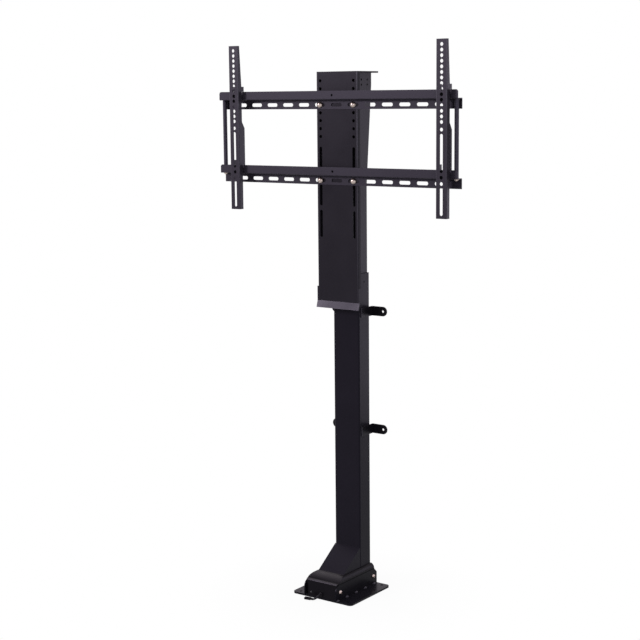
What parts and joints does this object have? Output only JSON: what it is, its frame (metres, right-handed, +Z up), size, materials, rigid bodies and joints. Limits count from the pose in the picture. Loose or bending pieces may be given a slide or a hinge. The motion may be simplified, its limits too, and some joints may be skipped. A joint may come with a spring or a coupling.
{
  "type": "tv lift",
  "caption": "Motorised pop-up screen lift: floor base, telescopic column with spindle drive, sliding carriage panel, slotted cross rails and hook-on hangers.",
  "frame": {"origin": "centre of the base plate's underside, on the floor", "axes": "+Z up along the column, -Y towards the front where the screen hangs, +X to the right seen from the front"},
  "size_m": [0.731, 0.2107, 1.43],
  "materials": {
    "black_coat": "satin black powder coat on steel",
    "slate_coat": "matt slate-black powder coat on steel",
    "bright_bolt": "bright nickel plate",
    "dark_screw": "black oxide",
    "moulded_cover": "satin moulded black",
    "nylon": "machined black nylon",
    "black_plastic": "moulded black",
    "lead_sheath": "matt sheath",
    "plain_steel": "turned steel",
    "cast_alloy": "as cast",
    "bronze": "turned bronze"
  },
  "bodies": {
    "stand": {"base_plate": "black_coat", "side_plate_left": "black_coat", "side_plate_right": "black_coat", "motor_cover": "moulded_cover", "column_hood": "black_coat", "cover_screws": "bright_bolt", "outer_column": "black_coat", "column_guide": "nylon", "guide_screws": "dark_screw", "wall_tab_upper_left": "black_coat", "wall_tab_upper_right": "black_coat", "wall_tab_lower_left": "black_coat", "wall_tab_lower_right": "black_coat", "motor_body": "plain_steel", "motor_cradle": "cast_alloy", "gearbox_case": "cast_alloy", "gearbox_lid": "cast_alloy", "spindle_bearing": "plain_steel", "cable_gland": "black_plastic", "motor_lead": "lead_sheath", "lead_connector": "black_plastic"},
    "carriage": {"inner_tube": "black_coat", "head_plate": "black_coat", "head_screws": "dark_screw", "nut_carrier": "nylon", "spindle_nut": "bronze", "carriage_panel": "black_coat", "carriage_channel": "black_coat", "upper_rail": "slate_coat", "lower_rail": "slate_coat", "rail_bolts": "bright_bolt", "rail_nuts": "bright_bolt", "tie_rod_left": "slate_coat", "tie_rod_right": "slate_coat", "tie_rod_bolts": "bright_bolt"},
    "spindle": {"spindle": "plain_steel", "spindle_guide": "nylon", "worm_wheel": "nylon"},
    "rotor": {"motor_shaft": "plain_steel", "worm": "plain_steel"},
    "hanger_left": {"hanger_left": "slate_coat"},
    "hanger_right": {"hanger_right": "slate_coat"}
  },
  "joints": [
    {"name": "lift", "type": "slide", "parent": "stand", "child": "carriage", "axis": [0, 0, 1], "range_m": [-0.5, 0]},
    {"name": "spindle_turn", "type": "hinge", "parent": "stand", "child": "spindle", "pos_m": [0, 0.062, 0.03], "axis": [0, 0, 1], "continuous": true},
    {"name": "motor_turn", "type": "hinge", "parent": "stand", "child": "rotor", "pos_m": [0.02, 0.062, 0.03], "axis": [0, 1, 0], "continuous": true},
    {"name": "hanger_left_slide", "type": "slide", "parent": "carriage", "child": "hanger_left", "axis": [1, 0, 0], "range_m": [-0.03, 0.2]},
    {"name": "hanger_right_slide", "type": "slide", "parent": "carriage", "child": "hanger_right", "axis": [1, 0, 0], "range_m": [-0.23, 0.004]}
  ],
  "couplings": [
    {"joint": "spindle_turn", "follows": "lift", "rad_per_m": -523.6},
    {"joint": "motor_turn", "follows": "lift", "rad_per_m": -10472}
  ]
}
